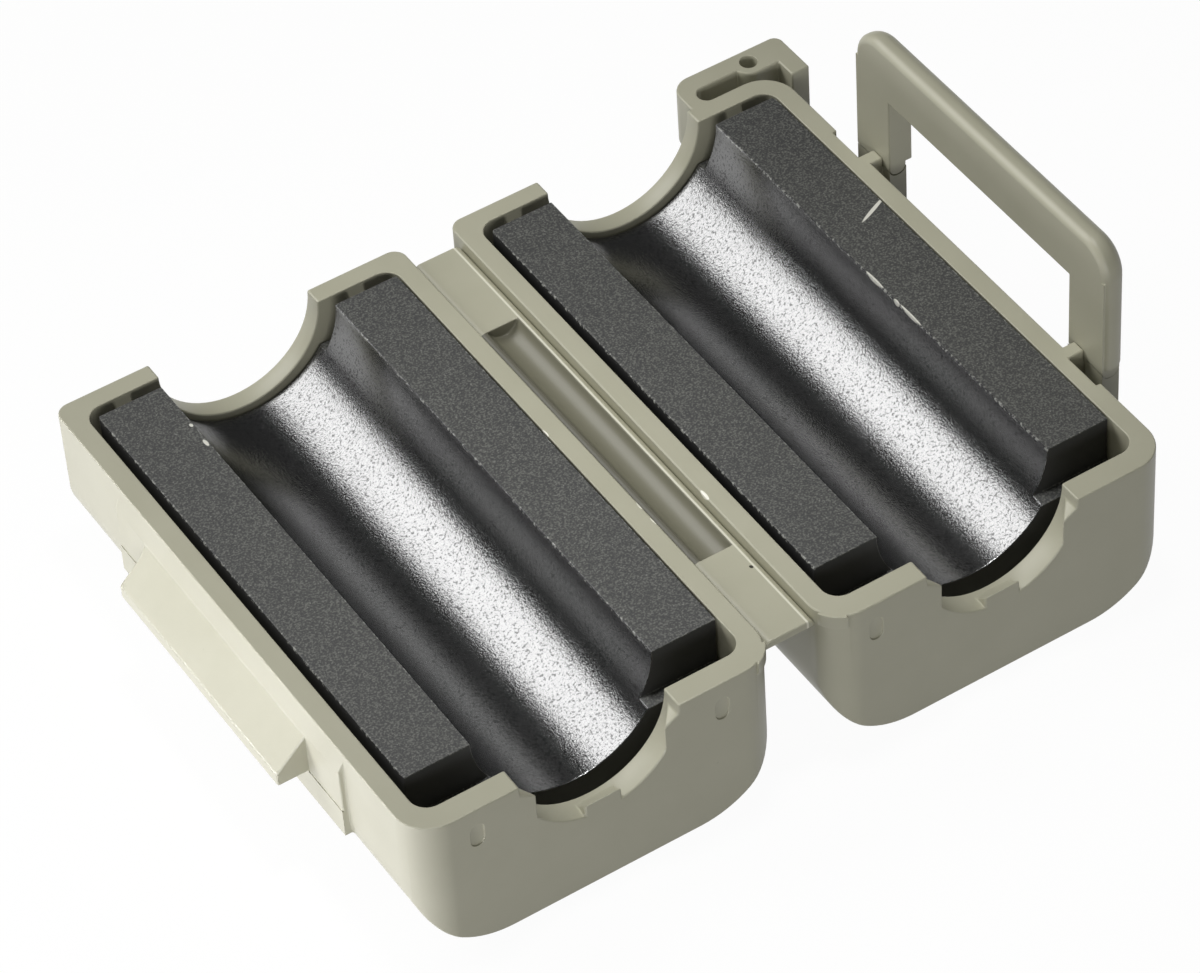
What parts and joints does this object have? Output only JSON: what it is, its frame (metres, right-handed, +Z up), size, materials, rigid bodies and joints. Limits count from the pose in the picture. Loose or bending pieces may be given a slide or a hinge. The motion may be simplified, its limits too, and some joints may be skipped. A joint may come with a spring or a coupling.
{
  "type": "clip-on ferrite bead",
  "caption": "Open clip-on ferrite bead: two hinged nylon trays, each holding half of a ferrite sleeve, with a latch loop that snaps over a wedge to close round a cable.",
  "frame": {"origin": "middle of the base tray's flat underside", "axes": "+X towards the lid tray, +Y along the cable towards the plain back end, +Z up, both trays lying open with their rims up"},
  "size_m": [0.0493, 0.0383, 0.0173],
  "materials": {
    "nylon": "satin warm grey moulded nylon",
    "ferrite": "sintered dark grey ferrite, ground mating faces, as-fired bore"
  },
  "bodies": {
    "base": {"base_shell": "nylon", "base_core": "ferrite"},
    "strap": {"hinge_strap": "nylon"},
    "lid": {"lid_shell": "nylon", "lid_core": "ferrite"},
    "latch": {"latch_loop": "nylon"}
  },
  "joints": [
    {"name": "strap_fold", "type": "hinge", "parent": "base", "child": "strap", "pos_m": [0.01101, 0, 0.00868], "axis": [0, -1, 0], "range_deg": [0, 90]},
    {"name": "lid_fold", "type": "hinge", "parent": "strap", "child": "lid", "pos_m": [0.01299, 0, 0.00868], "axis": [0, -1, 0], "range_deg": [0, 90]},
    {"name": "latch_flex", "type": "hinge", "parent": "lid", "child": "latch", "pos_m": [0.0358, 0, 0.0091], "axis": [0, 1, 0], "range_deg": [0, 19], "stiffness_Nm_per_rad": 0.1}
  ]
}
